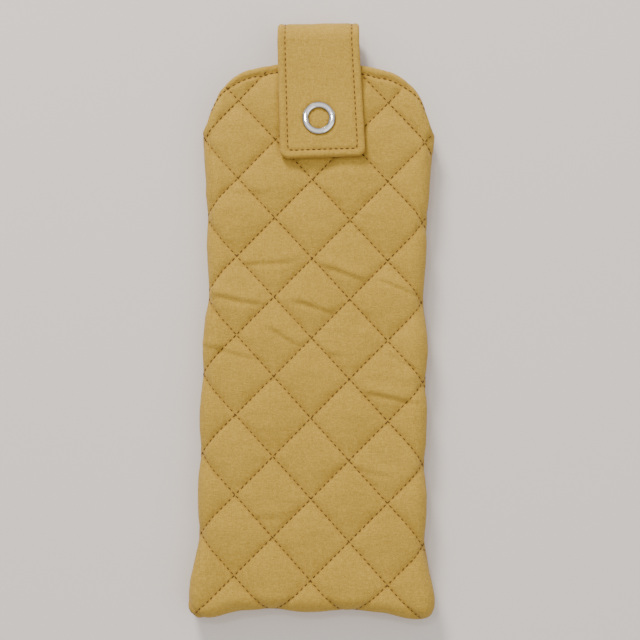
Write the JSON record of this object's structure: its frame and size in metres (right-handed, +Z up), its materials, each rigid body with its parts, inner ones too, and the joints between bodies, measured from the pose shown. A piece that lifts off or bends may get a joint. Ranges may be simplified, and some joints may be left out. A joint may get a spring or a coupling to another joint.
{
  "type": "soft pouch glasses case",
  "caption": "Soft quilted fabric pouch for folded spectacles, with an arched mouth and a fold-over tab closed by an open-ring press stud.",
  "frame": {"origin": "middle of the footprint of the case lying on its back, on the surface it lies on", "axes": "+X across the case to its own left with the front up and the mouth away, +Y along it to the mouth, +Z up out of its front"},
  "size_m": [0.0852, 0.2062, 0.0166],
  "materials": {
    "outer_cotton": "plain slub weave, matt",
    "wadding": "lofty fibre sheet",
    "lining": "plain weave, matt",
    "interfacing": "bonded fibre sheet",
    "thread": "spun sewing thread",
    "bright_metal": "bright plated"
  },
  "bodies": {
    "back_body": {"back_outer_panel": "outer_cotton", "back_wadding": "wadding", "back_lining": "lining", "back_quilting_thread": "thread", "back_quilting_bobbin_thread": "thread", "back_mouth_topstitch": "thread", "side_seam_thread": "thread", "lining_seam_thread": "thread", "tab_base_outer": "outer_cotton", "tab_base_core": "interfacing", "tab_base_under": "outer_cotton", "tab_base_topstitch": "thread"},
    "front_body": {"front_outer_panel": "outer_cotton", "front_wadding": "wadding", "front_lining": "lining", "front_quilting_thread": "thread", "front_quilting_bobbin_thread": "thread", "front_mouth_topstitch": "thread", "snap_stud": "bright_metal", "snap_stud_ring": "bright_metal"},
    "tab_body": {"tab_flap_outer": "outer_cotton", "tab_flap_core": "interfacing", "tab_flap_under": "outer_cotton", "tab_flap_topstitch": "thread", "snap_cap_ring": "bright_metal", "snap_socket": "bright_metal", "snap_socket_spring": "bright_metal"}
  },
  "joints": [
    {"name": "tab_fold", "type": "hinge", "parent": "back_body", "child": "tab_body", "pos_m": [0, 0.1031, 0.00815], "axis": [-1, 0, 0], "range_deg": [0, 178]},
    {"name": "mouth_open", "type": "hinge", "parent": "back_body", "child": "front_body", "pos_m": [0, -0.1031, 0.00675], "axis": [1, 0, 0], "range_deg": [0, 8]}
  ],
  "couplings": [
    {"joint": "mouth_open", "follows": "tab_fold", "ratio": 0.0449}
  ]
}
